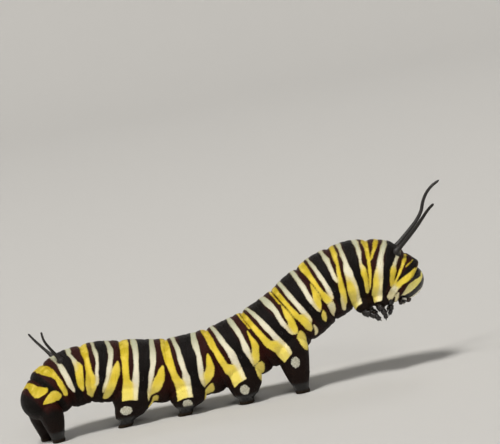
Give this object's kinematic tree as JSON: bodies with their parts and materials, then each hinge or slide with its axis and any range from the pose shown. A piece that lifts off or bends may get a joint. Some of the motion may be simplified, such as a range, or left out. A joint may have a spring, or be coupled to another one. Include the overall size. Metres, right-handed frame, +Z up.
{
  "type": "monarch butterfly larva",
  "caption": "Life-size striped butterfly larva resting on its prolegs, thorax raised and head bent down, with long filaments.",
  "frame": {"origin": "middle of the larva's box, on the floor it rests on", "axes": "+X towards the head, +Z up, the larva's right side towards -Y"},
  "size_m": [0.0448, 0.0078, 0.0178],
  "materials": {
    "banded_skin": "satin",
    "black_skin": "satin",
    "black_horn": "gloss"
  },
  "bodies": {
    "root": {"abdomen_1": "banded_skin", "abdomen_10": "banded_skin", "abdomen_2": "banded_skin", "abdomen_3": "banded_skin", "abdomen_4": "banded_skin", "abdomen_5": "banded_skin", "abdomen_6": "banded_skin", "abdomen_7": "banded_skin", "abdomen_8": "banded_skin", "abdomen_9": "banded_skin", "antenna_left": "black_horn", "antenna_right": "black_horn", "filament_front_left": "black_skin", "filament_front_right": "black_skin", "filament_rear_left": "black_skin", "filament_rear_right": "black_skin", "head": "banded_skin", "leg_front_left": "black_horn", "leg_front_right": "black_horn", "leg_hind_left": "black_horn", "leg_hind_right": "black_horn", "leg_middle_left": "black_horn", "leg_middle_right": "black_horn", "mandible_left": "black_horn", "mandible_right": "black_horn", "mesothorax": "banded_skin", "metathorax": "banded_skin", "proleg_3_left": "black_skin", "proleg_3_right": "black_skin", "proleg_4_left": "black_skin", "proleg_4_right": "black_skin", "proleg_5_left": "black_skin", "proleg_5_right": "black_skin", "proleg_6_left": "black_skin", "proleg_6_right": "black_skin", "proleg_anal_left": "black_skin", "proleg_anal_right": "black_skin", "prothorax": "banded_skin"}
  },
  "joints": []
}
